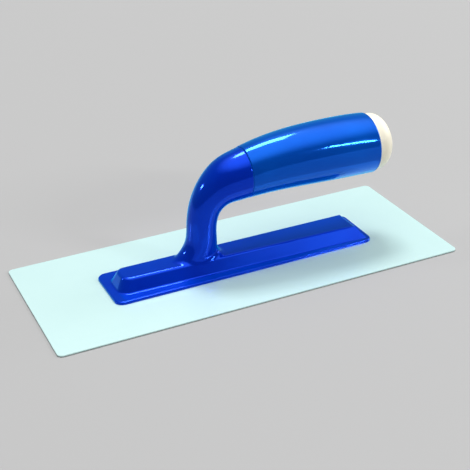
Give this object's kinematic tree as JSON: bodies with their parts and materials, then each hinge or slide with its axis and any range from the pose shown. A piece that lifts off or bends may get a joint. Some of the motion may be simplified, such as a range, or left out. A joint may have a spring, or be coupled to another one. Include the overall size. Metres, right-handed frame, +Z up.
{
  "type": "steel finishing trowel",
  "caption": "Flat rectangular finishing trowel with a thin steel blade, a long moulded foot and a back-swept round grip with a domed end cap.",
  "frame": {"origin": "centre of the blade's underside, the working face", "axes": "+X along the blade towards the grip's free end, +Y across the blade, +Z up from the working face through the handle"},
  "size_m": [0.28, 0.12, 0.0873],
  "materials": {
    "blade_steel": "pale, finely ground sheet steel, satin",
    "stud_steel": "plain steel",
    "handle_blue": "glossy moulded blue",
    "grip_blue": "glossy moulded blue",
    "washer_steel": "zinc plated",
    "screw_steel": "zinc plated",
    "cap_cream": "satin moulded cream"
  },
  "bodies": {
    "root": {"blade": "blade_steel", "blade_studs": "stud_steel", "handle_body": "handle_blue", "grip_sleeve": "grip_blue", "grip_washer": "washer_steel", "grip_screw": "screw_steel", "end_cap": "cap_cream"}
  },
  "joints": []
}
